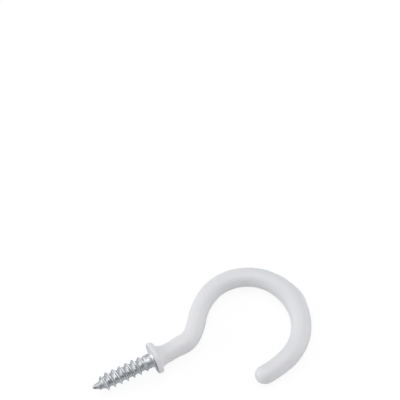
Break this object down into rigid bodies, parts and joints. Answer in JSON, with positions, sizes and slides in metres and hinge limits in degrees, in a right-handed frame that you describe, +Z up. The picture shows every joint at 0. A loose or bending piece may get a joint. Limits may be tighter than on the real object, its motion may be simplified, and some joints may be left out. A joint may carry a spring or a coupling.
{
  "type": "screw hook",
  "caption": "Steel screw hook: gimlet point and wood-screw thread, round collar, and a bent open hook coated in white vinyl.",
  "frame": {"origin": "Where the screw's axis meets the collar's seat, the face that closes on the wall or ceiling.", "axes": "The screw's axis lies along X, with its point at -X and the hook at +X, leaned by about 2.4 degrees, so that the part lies on its side as it comes to rest. The hook is bent in the XY plane and opens towards -X and -Y. +Z is up."},
  "size_m": [0.0726, 0.0392, 0.0101],
  "materials": {
    "zinc_plated_steel": "bright zinc plating, rolled thread",
    "white_vinyl": "satin dipped vinyl"
  },
  "bodies": {
    "root": {"steel_hook": "zinc_plated_steel", "vinyl_coat": "white_vinyl"}
  },
  "joints": []
}
